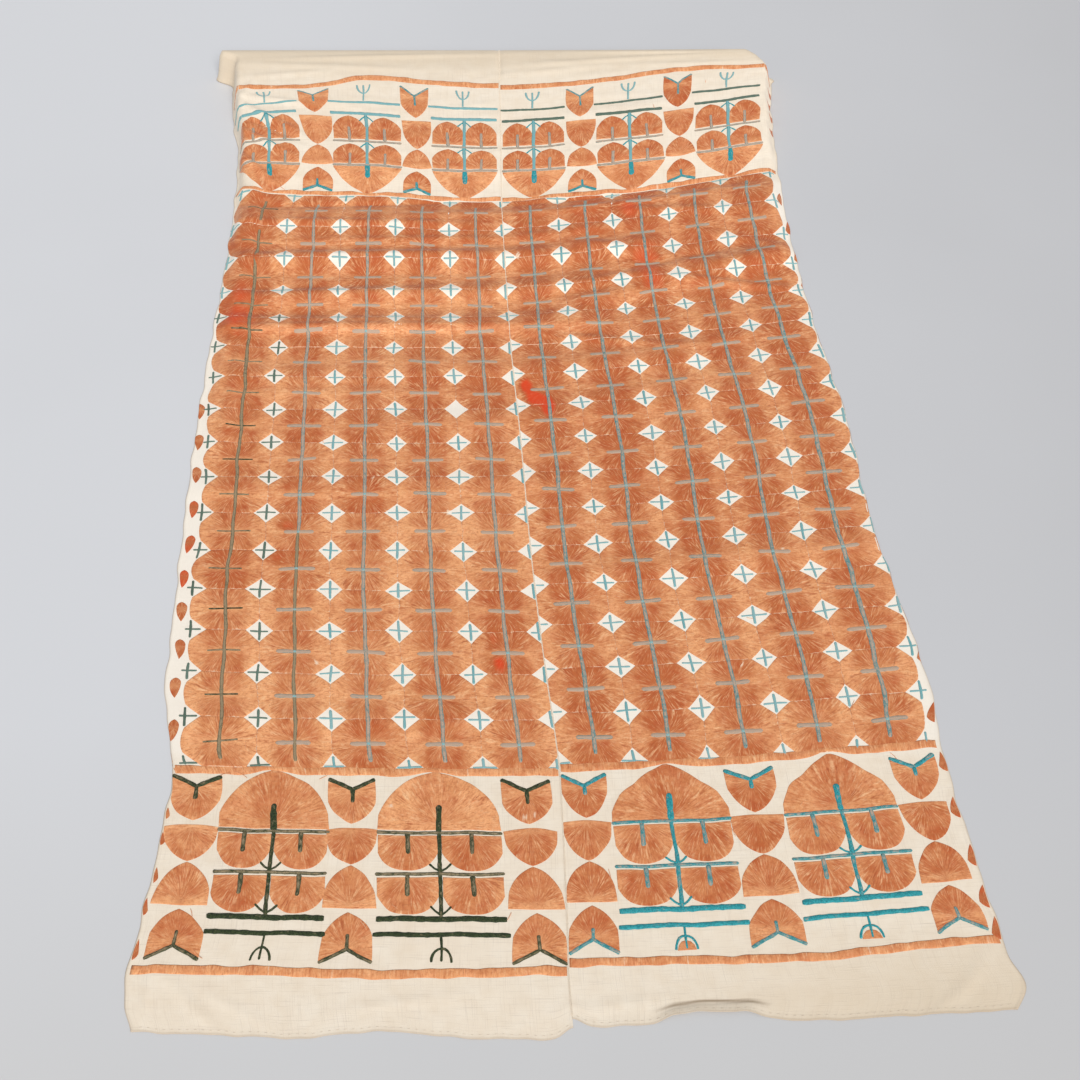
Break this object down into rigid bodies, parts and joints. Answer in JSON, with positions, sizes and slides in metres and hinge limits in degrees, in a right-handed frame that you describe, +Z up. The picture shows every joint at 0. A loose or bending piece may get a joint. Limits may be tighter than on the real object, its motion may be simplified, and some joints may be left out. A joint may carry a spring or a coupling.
{
  "type": "phulkari shawl",
  "caption": "Long rectangular embroidered cotton shawl of two sewn widths, laid out flat with soft ripples and a raised far end.",
  "frame": {"origin": "on the surface that the shawl lies on, under the middle of its bounding box", "axes": "+Y along the shawl to its raised far end, +X across it to the right, +Z up"},
  "size_m": [1.5314, 2.4318, 0.0875],
  "materials": {
    "cotton_cloth": "matt hand-woven cream cotton",
    "orange_floss": "soft sheen of untwisted silk in satin stitch",
    "teal_floss": "soft sheen of untwisted silk in satin stitch",
    "green_floss": "soft sheen of untwisted silk in satin stitch"
  },
  "bodies": {
    "root": {"left_width": "cotton_cloth", "right_width": "cotton_cloth"}
  },
  "joints": []
}
